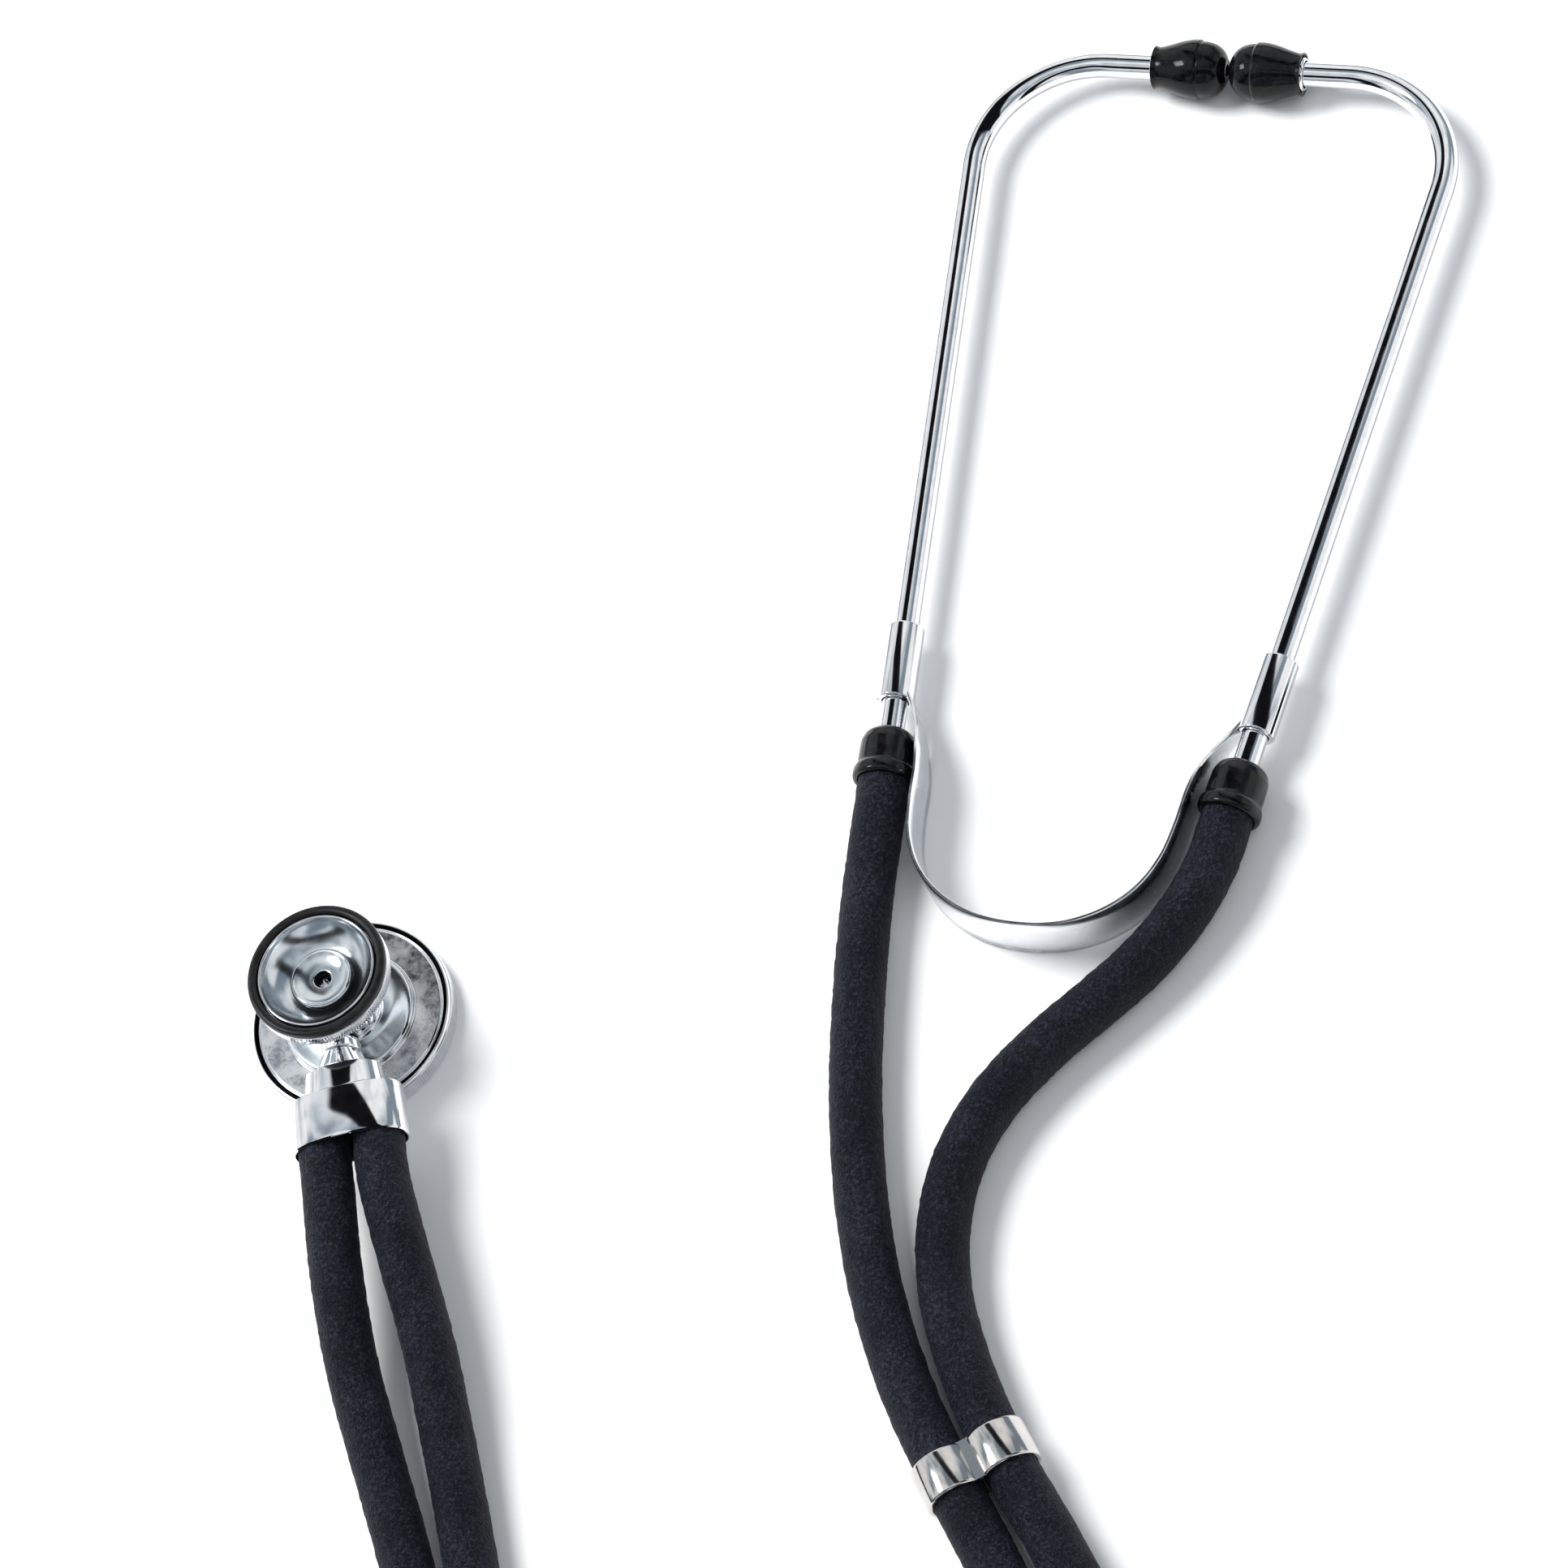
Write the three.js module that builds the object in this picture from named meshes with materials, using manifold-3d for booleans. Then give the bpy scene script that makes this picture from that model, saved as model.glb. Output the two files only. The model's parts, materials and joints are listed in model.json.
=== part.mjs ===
// Stethoscope with two hoses. Millimetres, +Z up.
// Origin: centre of the diaphragm's face, on the surface the stethoscope lies on.
// +Y runs along the stem, away from the hoses.
import * as THREE from 'three';
import { mergeVertices } from 'three/addons/utils/BufferGeometryUtils.js';
import Module from 'manifold-3d';

const wasm = await Module();
wasm.setup();

// ---------- driving dimensions ----------
const GAP = 0.3;                    // clearance left between neighbouring pieces

const DRUM_RADIUS = 22.5;
const DRUM_RING_HEIGHT = 5.2;
const BELL_RADIUS = 15.3;
const BELL_RIM_Z = 27.6;
const STEM_Z = 14.5;                // height of the stem's axis, about which the head turns
const JOURNAL_RADIUS = 2.4;         // stem inside the valve block
const BARREL_RADIUS = 3.8;          // valve block round the stem
const SOUND_HOLE_RADIUS = 1.5;
const BLOCK_BOTTOM_Z = 10.6;
const BLOCK_TOP_Z = 18.4;
const INDEX_Y = -6.5;               // where the click ball presses on the stem

const COLLAR_MOUTH_Y = -36;
const COLLAR_WIDTH = 25;
const COLLAR_HEIGHT = 13.4;
const HOSE_PITCH = 12;              // between the two hoses in the collar
const HOSE_RADIUS = 5.5;
const HOSE_SIDES = 10;
const HOSE_STEPS = 34;

const HEADSET_ORIGIN = [226.47, 177.87, 6.8];   // midway between the ear tips
const HEADSET_TURN = THREE.MathUtils.degToRad(-22.18);
const TIP_LENGTH = 16.7;
const TIP_START = 0.4;              // tip's nose to the headset's middle plane
const TUBE_RADIUS = 2.8;
const TUBE_START = 13;
const TUBE_CORNER = 56.5;           // where the tube's two straight lines would meet
const TUBE_BEND_RADIUS = 26;
const TUBE_TURN = THREE.MathUtils.degToRad(95.86);
const TUBE_STRAIGHT = 148;
const SLEEVE_START = 119;           // along the tube's long straight
const SLEEVE_LENGTH = 18;
const SLEEVE_RADIUS = 4.1;
const CAP_START = 144.4;
const CAP_LENGTH = 11.9;
const CAP_BORE = 5.85;
const SPRING_WIDTH = 13.2;
const SPRING_THICKNESS = 0.9;

const CLIP_CENTRE = [117.2, -134.3, 6.75];
const CLIP_TURN = THREE.MathUtils.degToRad(16);
const CLIP_LENGTH = 9;
const CLIP_PITCH = 11.6;

// Routes of the two hoses, from inside the hose cap to inside the collar.
const LEFT_ROUTE = [
  [124.2, 28.4, 6.8], [122.2, 21.7, 6.8], [119, 11, 6.6], [114.5, -4, 6], [110, -22.5, 5.6],
  [105.5, -46, 5.6], [103, -70, 5.6], [103, -92.5, 5.6], [106, -114.5, 6], [111.6, -135.9, 6.75],
  [118, -157, 6], [123, -176.5, 5.6], [123, -196, 5.6], [117.5, -214.5, 5.6], [106, -231, 5.6],
  [89, -244.5, 5.6], [67, -250, 5.6], [44, -245.5, 5.6], [24.5, -232.5, 5.6], [11, -213.5, 5.6],
  [4.5, -191, 5.6], [3, -169, 5.6], [1.5, -147.5, 5.6], [-0.5, -126.5, 5.6], [-3.5, -105, 7.3],
  [-6, -83.5, 10.6], [-6.5, -62, 13.6], [-6, -44, 14.5], [-6, -33, 14.5],
];
const RIGHT_ROUTE = [
  [195.1, -0.5, 6.8], [191.8, -6.7, 6.8], [186.5, -16.5, 6.6], [179, -25.5, 6.1], [169.5, -33.5, 5.6],
  [158, -40.5, 5.6], [145.5, -47.5, 5.6], [133.5, -56.5, 5.6], [124.5, -67.5, 5.6], [119, -80.5, 5.6],
  [116.8, -95, 5.6], [117.8, -109.5, 5.8], [122.8, -132.7, 6.75], [130, -154, 6], [135.5, -174.5, 6.2],
  [135, -198, 8.2], [125.5, -219, 13.3], [108.5, -234, 17], [88, -240.5, 16.9], [67.5, -240.5, 13.2],
  [48.5, -235, 8], [32.5, -224, 5.6], [21.5, -208.5, 5.6], [16.5, -189.5, 5.6], [15, -168.5, 5.6],
  [13.5, -147, 5.6], [12.5, -125.5, 5.6], [11.5, -104, 7.3], [10.5, -82.5, 10.6], [8, -61, 13.6],
  [6, -44, 14.5], [6, -33, 14.5],
];

// ---------- materials ----------
function material(color, roughness, metalness) {
  return new THREE.MeshStandardMaterial({ color, roughness, metalness });
}
const chrome = () => material(0xd5d7da, 0.12, 1);
const steel = () => material(0xb9bcc0, 0.25, 1);
const blackPlastic = () => material(0x0b0b0d, 0.18, 0);
const blackRubber = () => material(0x15161b, 0.62, 0);
const paleFilm = () => material(0xd9dad6, 0.45, 0);

// ---------- geometry helpers ----------
function signedVolume(position, index) {
  const a = new THREE.Vector3();
  const b = new THREE.Vector3();
  const c = new THREE.Vector3();
  let total = 0;
  for (let i = 0; i < index.length; i += 3) {
    a.fromBufferAttribute(position, index[i]);
    b.fromBufferAttribute(position, index[i + 1]);
    c.fromBufferAttribute(position, index[i + 2]);
    total += a.dot(b.cross(c));
  }
  return total / 6;
}

// One closed, welded skin with its faces pointing out.
function closed(geometry) {
  const bare = geometry.clone();
  bare.deleteAttribute('normal');
  bare.deleteAttribute('uv');
  const welded = mergeVertices(bare, 1e-4);
  const all = welded.index.array;
  const kept = [];
  for (let i = 0; i < all.length; i += 3) {
    const [a, b, c] = [all[i], all[i + 1], all[i + 2]];
    if (a !== b && b !== c && c !== a) kept.push(a, b, c);
  }
  if (signedVolume(welded.attributes.position, kept) < 0) kept.reverse();
  welded.setIndex(kept);
  welded.computeVertexNormals();
  return welded;
}

function toSolid(geometry) {
  const skin = closed(geometry);
  return new wasm.Manifold(new wasm.Mesh({
    numProp: 3,
    vertProperties: new Float32Array(skin.attributes.position.array),
    triVerts: new Uint32Array(skin.index.array),
  }));
}

function fromSolid(solid) {
  const cut = solid.getMesh();
  const geometry = new THREE.BufferGeometry();
  geometry.setAttribute('position', new THREE.BufferAttribute(cut.vertProperties, 3));
  geometry.setIndex(Array.from(cut.triVerts));
  return geometry;
}

// A body of revolution about Z from [radius, z] points. A ring's outline closes on itself.
function turned(profile, segments, isRing) {
  const points = profile.map(([r, z]) => new THREE.Vector2(r, z));
  if (isRing) points.push(points[0].clone());
  return new THREE.LatheGeometry(points, segments).rotateX(Math.PI / 2);
}

function rodAlong(axis, radius, from, to, segments = 24) {
  const rod = new THREE.CylinderGeometry(radius, radius, to - from, segments);
  rod.translate(0, (from + to) / 2, 0);
  if (axis === 'z') rod.rotateX(Math.PI / 2);
  if (axis === 'x') rod.rotateZ(-Math.PI / 2);
  return rod;
}

function roundSection(radius, sides) {
  const section = new THREE.Shape();
  for (let i = 0; i < sides; i += 1) {
    const turn = (2 * Math.PI * i) / sides;
    const place = [radius * Math.cos(turn), radius * Math.sin(turn)];
    if (i === 0) section.moveTo(...place);
    else section.lineTo(...place);
  }
  section.closePath();
  return section;
}

function swept(curve, radius, sides, steps) {
  return new THREE.ExtrudeGeometry(roundSection(radius, sides), { steps, extrudePath: curve });
}

function addMesh(parent, name, geometry, look) {
  const mesh = new THREE.Mesh(closed(geometry), look);
  mesh.name = name;
  parent.add(mesh);
  return mesh;
}

// Points a body of revolution's Z axis along a direction and moves it to a place.
function aim(mesh, place, direction) {
  mesh.position.copy(place);
  mesh.quaternion.setFromUnitVectors(new THREE.Vector3(0, 0, 1), direction);
}

const stethoscope = new THREE.Group();

// ---------- chest piece: drum ----------
function addDrum(parent) {
  const diaphragm = [
    [0, 0], [19.2, 0], [19.6, 1.1], [21.2, 1.1], [21.2, 1.5], [19.3, 1.5], [18.9, 0.4], [0, 0.4],
  ];
  addMesh(parent, 'diaphragm', turned(diaphragm, 32, false), paleFilm());
  const ring = [
    [19.9, 0], [DRUM_RADIUS - 0.4, 0], [DRUM_RADIUS, 0.5], [DRUM_RADIUS, DRUM_RING_HEIGHT - 0.5],
    [DRUM_RADIUS - 0.4, DRUM_RING_HEIGHT], [21.6, DRUM_RING_HEIGHT], [21.6, 0.8], [19.9, 0.8],
  ];
  addMesh(parent, 'drum_ring', turned(ring, 48, true), chrome());
  const gasket = [[19.7, 1.8], [21.2, 1.8], [21.2, 2.5], [19.7, 2.5]];
  addMesh(parent, 'drum_gasket', turned(gasket, 32, true), blackRubber());
  const body = [
    [SOUND_HOLE_RADIUS, 6.2], [17.5, 3.6], [19.2, 2.8], [21.3, 2.8], [21.3, 5], [14.5, 5],
    [14.3, 6.2], [13.5, 6.6], [9.5, 7.4], [7.2, 8.3], [6.6, 9], [6.4, 10], [6, BLOCK_BOTTOM_Z - GAP],
    [3.5, BLOCK_BOTTOM_Z - GAP], [3.5, 8.1], [SOUND_HOLE_RADIUS, 8.1],
  ];
  addMesh(parent, 'drum_body', turned(body, 40, true), chrome());
}

// ---------- chest piece: valve block, which turns on the stem ----------
function addValveBlock(parent) {
  const barrel = rodAlong('y', BARREL_RADIUS, -10, 7.2, 24).translate(0, 0, STEM_Z);
  const boss = rodAlong('x', 2.3, 0, 6.6, 16).translate(0, INDEX_Y, STEM_Z);
  const bore = rodAlong('y', JOURNAL_RADIUS + GAP, -11, 3.8, 20).translate(0, 0, STEM_Z);
  const screwHole = rodAlong('y', 1.3, 3, 8, 12).translate(0, 0, STEM_Z);
  const screwSeat = rodAlong('y', 2.5, 6.3, 8, 18).translate(0, 0, STEM_Z);
  const indexHole = rodAlong('x', 1.3, 2.2, 7, 12).translate(0, INDEX_Y, STEM_Z);
  const block = toSolid(rodAlong('z', 6, BLOCK_BOTTOM_Z, BLOCK_TOP_Z, 32))
    .add(toSolid(barrel))
    .add(toSolid(boss))
    .add(toSolid(rodAlong('z', 3.2, 8.4, 20.4, 24)))
    .subtract(toSolid(bore))
    .subtract(toSolid(rodAlong('z', SOUND_HOLE_RADIUS, 8, 21, 14)))
    .subtract(toSolid(screwHole))
    .subtract(toSolid(screwSeat))
    .subtract(toSolid(indexHole));
  addMesh(parent, 'valve_block', fromSolid(block), chrome());

  const ball = new THREE.SphereGeometry(0.9, 12, 8).translate(3.6, INDEX_Y, STEM_Z);
  addMesh(parent, 'index_ball', ball, steel());

  class Coil extends THREE.Curve {
    getPoint(t) {
      const turn = 2 * Math.PI * 2.5 * t;
      return new THREE.Vector3(4.85 + 1.05 * t, 0.85 * Math.cos(turn), 0.85 * Math.sin(turn));
    }
  }
  const spring = swept(new Coil(), 0.13, 5, 26).translate(0, INDEX_Y, STEM_Z);
  addMesh(parent, 'index_spring', spring, steel());

  const screw = [[0, 0], [1, 0], [1, 0.7], [2, 0.7], [2, 1.3], [1.5, 1.7], [0, 1.7]];
  const cap = turned(screw, 20, false).rotateY(Math.PI / 2).translate(6.2, INDEX_Y, STEM_Z);
  addMesh(parent, 'index_screw', cap, steel());
}

// ---------- chest piece: bell ----------
function addBell(parent) {
  const cup = [
    [3.5, 18.7], [5.6, 18.7], [6, 19.2], [6, 20.2], [8.5, 21], [12, 21.8], [14.6, 22.4],
    [15.1, 22.9], [15.1, 25.2], [14.6, 25.5], [12.95, 25.5], [12.95, 27], [12.6, 27.3],
    [12.2, 27.1], [11, 25.2], [9, 23.5], [7.1, 22.4], [3.5, 22.4],
  ];
  addMesh(parent, 'bell_body', turned(cup, 40, true), chrome());
  const hub = [
    [1.85, 20.7], [3.2, 20.7], [3.2, 22.7], [6.7, 22.7], [6.7, 23.6], [6.3, 23.9], [5.6, 23.8],
    [3.2, 23.2], [1.85, 23],
  ];
  addMesh(parent, 'bell_hub', turned(hub, 24, true), chrome());
  const ring = [
    [13.25, 25.8], [15, 25.8], [BELL_RADIUS, 26.1], [BELL_RADIUS, 27], [14.7, BELL_RIM_Z],
    [13.7, BELL_RIM_Z], [13.25, 27.2],
  ];
  addMesh(parent, 'bell_ring', turned(ring, 40, true), blackRubber());
}

// ---------- stem and collar ----------
function addStem(parent) {
  const outline = [
    [0, -19.6], [3, -19.6], [3, -14.2], [4.2, -14.2], [4.2, -11.8], [3.8, -11.2],
    [JOURNAL_RADIUS, -11.2], [JOURNAL_RADIUS, 3.5], [0, 3.5],
  ];
  const rod = turned(outline, 24, false).rotateX(-Math.PI / 2);
  const stem = toSolid(rod)
    .subtract(toSolid(rodAlong('y', 1.2, -21, 0.8, 12)))
    .subtract(toSolid(rodAlong('z', 1, 0, 4, 12)))
    .subtract(toSolid(rodAlong('y', 1.1, 1.8, 4, 12)));
  addMesh(parent, 'stem', fromSolid(stem).translate(0, 0, STEM_Z), chrome());

  const washer = [[2.7, -10.9], [BARREL_RADIUS, -10.9], [BARREL_RADIUS, -10.3], [2.7, -10.3]];
  const seal = turned(washer, 24, true).rotateX(-Math.PI / 2).translate(0, 0, STEM_Z);
  addMesh(parent, 'stem_seal', seal, blackRubber());

  const outlineScrew = [[0, 2.1], [0.8, 2.1], [0.8, 6.6], [2.2, 6.6], [2.2, 7.6], [1.7, 8], [0, 8]];
  const screw = turned(outlineScrew, 20, false).rotateX(-Math.PI / 2).translate(0, 0, STEM_Z);
  addMesh(parent, 'stem_screw', screw, steel());
}

// An oval bar along Y with straight flats and round ends.
function ovalBar(width, height, from, to) {
  const reach = (width - height) / 2;
  const oval = new THREE.Shape();
  oval.moveTo(-reach, -height / 2);
  oval.lineTo(reach, -height / 2);
  oval.absarc(reach, 0, height / 2, -Math.PI / 2, Math.PI / 2, false);
  oval.lineTo(-reach, height / 2);
  oval.absarc(-reach, 0, height / 2, Math.PI / 2, 1.5 * Math.PI, false);
  const bar = new THREE.ExtrudeGeometry(oval, { depth: to - from, bevelEnabled: false, curveSegments: 12 });
  return bar.rotateX(-Math.PI / 2).translate(0, from, 0);
}

function addCollar(parent) {
  const pocketFloor = -26.5;
  const cone = new THREE.CylinderGeometry(4.4, 5.5, 4.6, 26).translate(0, -16.8, 0);
  let collar = toSolid(ovalBar(COLLAR_WIDTH, COLLAR_HEIGHT, COLLAR_MOUTH_Y, -24.3))
    .add(toSolid(ovalBar(16.4, 11.4, -25, -18.6)))
    .add(toSolid(cone));
  for (const side of [-1, 1]) {
    const x = (side * HOSE_PITCH) / 2;
    const pocket = rodAlong('y', CAP_BORE, COLLAR_MOUTH_Y - 1, pocketFloor, 24).translate(x, 0, 0);
    const channel = rodAlong('y', SOUND_HOLE_RADIUS, pocketFloor - 1, -21, 10).translate(x, 0, 0);
    collar = collar.subtract(toSolid(pocket)).subtract(toSolid(channel));
  }
  const slot = new THREE.BoxGeometry(3, 10.5, 7).translate(0, COLLAR_MOUTH_Y + 4.2, 0);
  collar = collar
    .subtract(toSolid(slot))
    .subtract(toSolid(rodAlong('x', SOUND_HOLE_RADIUS - 0.1, -6.5, 6.5, 10).translate(0, -22.5, 0)))
    .subtract(toSolid(rodAlong('y', 3.3, -23, -14, 22)));
  addMesh(parent, 'hose_collar', fromSolid(collar).translate(0, 0, STEM_Z), chrome());

  const nipple = [
    [SOUND_HOLE_RADIUS, 0], [2.7, 0], [2.7, 2.6], [3, 2.7], [2.6, 4], [3, 4.1], [2.4, 5.9],
    [SOUND_HOLE_RADIUS, 5.9],
  ];
  for (const [name, side] of [['left', -1], ['right', 1]]) {
    const barb = addMesh(parent, `${name}_hose_barb`, turned(nipple, 16, true), steel());
    const place = new THREE.Vector3((side * HOSE_PITCH) / 2, pocketFloor - GAP, STEM_Z);
    aim(barb, place, new THREE.Vector3(0, -1, 0));
  }
}

// ---------- hoses and clip ----------
function addHose(parent, name, route) {
  const points = route.map((place) => new THREE.Vector3(...place));
  const line = new THREE.CatmullRomCurve3(points, false, 'centripetal');
  addMesh(parent, name, swept(line, HOSE_RADIUS, HOSE_SIDES, HOSE_STEPS), blackRubber());
}

// Two round lobes side by side with a valley above and below the middle.
function figureEight(Kind, radius, waist) {
  const outline = new Kind();
  const dip = Math.asin(waist / radius);
  const half = CLIP_PITCH / 2;
  outline.absarc(half, 0, radius, -Math.PI + dip, Math.PI - dip, false);
  outline.absarc(-half, 0, radius, dip, 2 * Math.PI - dip, false);
  outline.closePath();
  return outline;
}

function addClip(parent) {
  const band = figureEight(THREE.Shape, 6.6, 4.6);
  band.holes.push(figureEight(THREE.Path, 5.9, 3.6));
  const body = new THREE.ExtrudeGeometry(band, { depth: CLIP_LENGTH, bevelEnabled: false, curveSegments: 16 });
  body.translate(0, 0, -CLIP_LENGTH / 2).rotateX(Math.PI / 2).rotateZ(CLIP_TURN);
  const clip = addMesh(parent, 'hose_clip', body, steel());
  clip.position.set(...CLIP_CENTRE);
}

// ---------- headset ----------
// Centreline of one ear tube: short straight, bend, long straight.
class EarTubeLine extends THREE.Curve {
  constructor(side) {
    super();
    this.side = side;
    this.bendStart = TUBE_CORNER - TUBE_BEND_RADIUS * Math.tan(TUBE_TURN / 2);
    this.first = this.bendStart - TUBE_START;
    this.bend = TUBE_BEND_RADIUS * TUBE_TURN;
    this.total = this.first + this.bend + TUBE_STRAIGHT;
  }

  at(distance) {
    const turn = Math.min(Math.max(distance - this.first, 0), this.bend) / TUBE_BEND_RADIUS;
    const before = Math.min(distance, this.first);
    const after = Math.max(distance - this.first - this.bend, 0);
    const x = TUBE_START + before + TUBE_BEND_RADIUS * Math.sin(turn) + after * Math.cos(turn);
    const y = -TUBE_BEND_RADIUS * (1 - Math.cos(turn)) - after * Math.sin(turn);
    return new THREE.Vector3(this.side * x, y, 0);
  }

  getPoint(t) {
    return this.at(t * this.total);
  }

  onStraight(distance) {
    return this.at(this.first + this.bend + distance);
  }

  straightDirection() {
    return this.onStraight(1).sub(this.onStraight(0)).normalize();
  }
}

function addArm(parent, name, side) {
  const line = new EarTubeLine(side);
  const outward = new THREE.Vector3(side, 0, 0);
  const down = line.straightDirection();

  const olive = [
    [1.3, 0], [2.8, 0.2], [4.7, 1.3], [6.1, 3.5], [6.7, 6.2], [6.6, 8.2], [6.1, 10.6], [5.3, 13.2],
    [4.7, 15.2], [4.6, 16], [4.9, TIP_LENGTH], [4.4, TIP_LENGTH], [3.95, 15.8], [3.95, 9.8], [1.3, 9.4],
  ];
  const tip = addMesh(parent, `${name}_ear_tip`, turned(olive, 24, true), blackPlastic());
  aim(tip, new THREE.Vector3(side * TIP_START, 0, 0), outward);

  const thread = [
    [3.1, 0], [3.8, 0], [3.8, 6.4], [3.5, 6.8], [3.1, 6.8],
  ];
  const ferrule = addMesh(parent, `${name}_tip_ferrule`, turned(thread, 20, true), chrome());
  aim(ferrule, new THREE.Vector3(side * 10.8, 0, 0), outward);

  addMesh(parent, `${name}_ear_tube`, swept(line, TUBE_RADIUS, 12, 38), chrome());

  const rolled = [[3.1, 0], [3.8, 0], [SLEEVE_RADIUS, 0.4], [SLEEVE_RADIUS, SLEEVE_LENGTH - 0.4],
    [3.8, SLEEVE_LENGTH], [3.1, SLEEVE_LENGTH]];
  const sleeve = addMesh(parent, `${name}_spring_sleeve`, turned(rolled, 24, true), steel());
  aim(sleeve, line.onStraight(SLEEVE_START), down);

  const dome = [
    [3.1, 0], [4.2, 0.1], [5.5, 1.2], [6.1, 3], [6.15, 8], [6.6, 10.4], [6.7, 11.5], [6.4, CAP_LENGTH],
    [CAP_BORE, CAP_LENGTH], [CAP_BORE, 4.3], [3.1, 4],
  ];
  const cap = addMesh(parent, `${name}_hose_cap`, turned(dome, 24, true), blackPlastic());
  aim(cap, line.onStraight(CAP_START), down);
}

function addLeafSpring(parent) {
  const half = [
    [36.2, -152], [35.4, -160], [34.3, -166.2], [32.5, -171], [30.9, -176], [29.6, -182.5],
    [28.8, -190], [27.2, -198], [23.6, -205.2], [17.6, -211], [9.6, -214.8],
  ];
  const points = [
    ...half.map(([x, y]) => new THREE.Vector3(-x, y, 0)),
    new THREE.Vector3(0, -216, 0),
    ...half.reverse().map(([x, y]) => new THREE.Vector3(x, y, 0)),
  ];
  const line = new THREE.CatmullRomCurve3(points, false, 'centripetal');
  const outer = [];
  const inner = [];
  const steps = 44;
  for (let i = 0; i <= steps; i += 1) {
    const place = line.getPointAt(i / steps);
    const along = line.getTangentAt(i / steps);
    const across = new THREE.Vector2(along.y, -along.x).multiplyScalar(SPRING_THICKNESS / 2);
    outer.push(new THREE.Vector2(place.x + across.x, place.y + across.y));
    inner.push(new THREE.Vector2(place.x - across.x, place.y - across.y));
  }
  const outline = new THREE.Shape([...outer, ...inner.reverse()]);
  const band = new THREE.ExtrudeGeometry(outline, { depth: SPRING_WIDTH, bevelEnabled: false });
  addMesh(parent, 'leaf_spring', band.translate(0, 0, -SPRING_WIDTH / 2), steel());
}

addDrum(stethoscope);
addValveBlock(stethoscope);
addBell(stethoscope);
addStem(stethoscope);
addCollar(stethoscope);
addHose(stethoscope, 'left_hose', LEFT_ROUTE);
addHose(stethoscope, 'right_hose', RIGHT_ROUTE);
addClip(stethoscope);

const headset = new THREE.Group();
headset.position.set(...HEADSET_ORIGIN);
headset.rotation.z = HEADSET_TURN;
addArm(headset, 'left', -1);
addArm(headset, 'right', 1);
addLeafSpring(headset);
stethoscope.add(headset);

export default stethoscope;
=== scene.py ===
import json
import math

import bmesh
import bpy
from mathutils import Matrix, Vector, noise


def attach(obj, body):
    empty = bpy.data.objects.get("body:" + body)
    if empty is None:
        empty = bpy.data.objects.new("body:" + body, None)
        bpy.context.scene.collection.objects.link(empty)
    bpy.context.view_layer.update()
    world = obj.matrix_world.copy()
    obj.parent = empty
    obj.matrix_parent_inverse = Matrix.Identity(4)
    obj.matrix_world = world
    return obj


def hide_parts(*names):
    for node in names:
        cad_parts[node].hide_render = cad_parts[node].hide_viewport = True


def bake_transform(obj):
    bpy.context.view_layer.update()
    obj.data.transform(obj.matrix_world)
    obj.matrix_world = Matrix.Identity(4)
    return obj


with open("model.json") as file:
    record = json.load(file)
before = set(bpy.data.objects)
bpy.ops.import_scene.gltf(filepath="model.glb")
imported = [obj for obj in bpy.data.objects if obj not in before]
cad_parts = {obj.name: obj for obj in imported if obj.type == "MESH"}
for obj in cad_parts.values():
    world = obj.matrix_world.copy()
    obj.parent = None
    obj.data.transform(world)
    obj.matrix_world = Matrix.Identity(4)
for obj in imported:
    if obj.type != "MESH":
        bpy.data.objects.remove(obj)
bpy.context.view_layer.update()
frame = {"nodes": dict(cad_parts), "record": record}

MM = 0.001
UP = Vector((0, 0, 1))


def placed(x, y, z, angle=0, axis="Z"):
    """A frame at that point, in millimetres, turned by an angle in degrees about one axis."""
    return Matrix.Translation(Vector((x, y, z)) * MM) @ Matrix.Rotation(math.radians(angle), 4, axis)


# ---------- places and sizes as in the CAD, in millimetres ----------
HEADSET = placed(226.47, 177.87, 6.8, -22.18)
TUBE_RADIUS = 2.8
TUBE_START = 13                           # from the headset's middle to a tube's open end
TUBE_CORNER = 56.5                        # where a tube's two straights would meet
TUBE_BEND_RADIUS = 26
TUBE_TURN = math.radians(95.86)
TUBE_STRAIGHT = 148
FIRST_STRAIGHT = TUBE_CORNER - TUBE_BEND_RADIUS * math.tan(TUBE_TURN / 2) - TUBE_START
BEND_LENGTH = TUBE_BEND_RADIUS * TUBE_TURN
STRAIGHT_START = FIRST_STRAIGHT + BEND_LENGTH
EAR_TIP_START = 0.4                       # from the headset's middle
FERRULE_START = 10.8
SLEEVE_START = 119                        # down a tube's long straight
SLEEVE_LENGTH = 18
CAP_START = 144.4
SPRING_WIDTH = 13.2
SPRING_THICKNESS = 0.9
SPRING_MIDDLE = (0, -216)

CLIP_PLACE = placed(117.2, -134.3, 6.75, 16)
CLIP_LENGTH = 9
CLIP_PITCH = 11.6

STEM_Z = 14.5
STEM_LINE = placed(0, 0, STEM_Z, -90, "X")   # a turned body's axis becomes +Y, away from the hoses
INDEX_Y = -6.5
KNURL_DEPTH = 0.32
KNURL_REACH = 0.7                         # how far in from a ring's radius the teeth still count as outside

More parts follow.
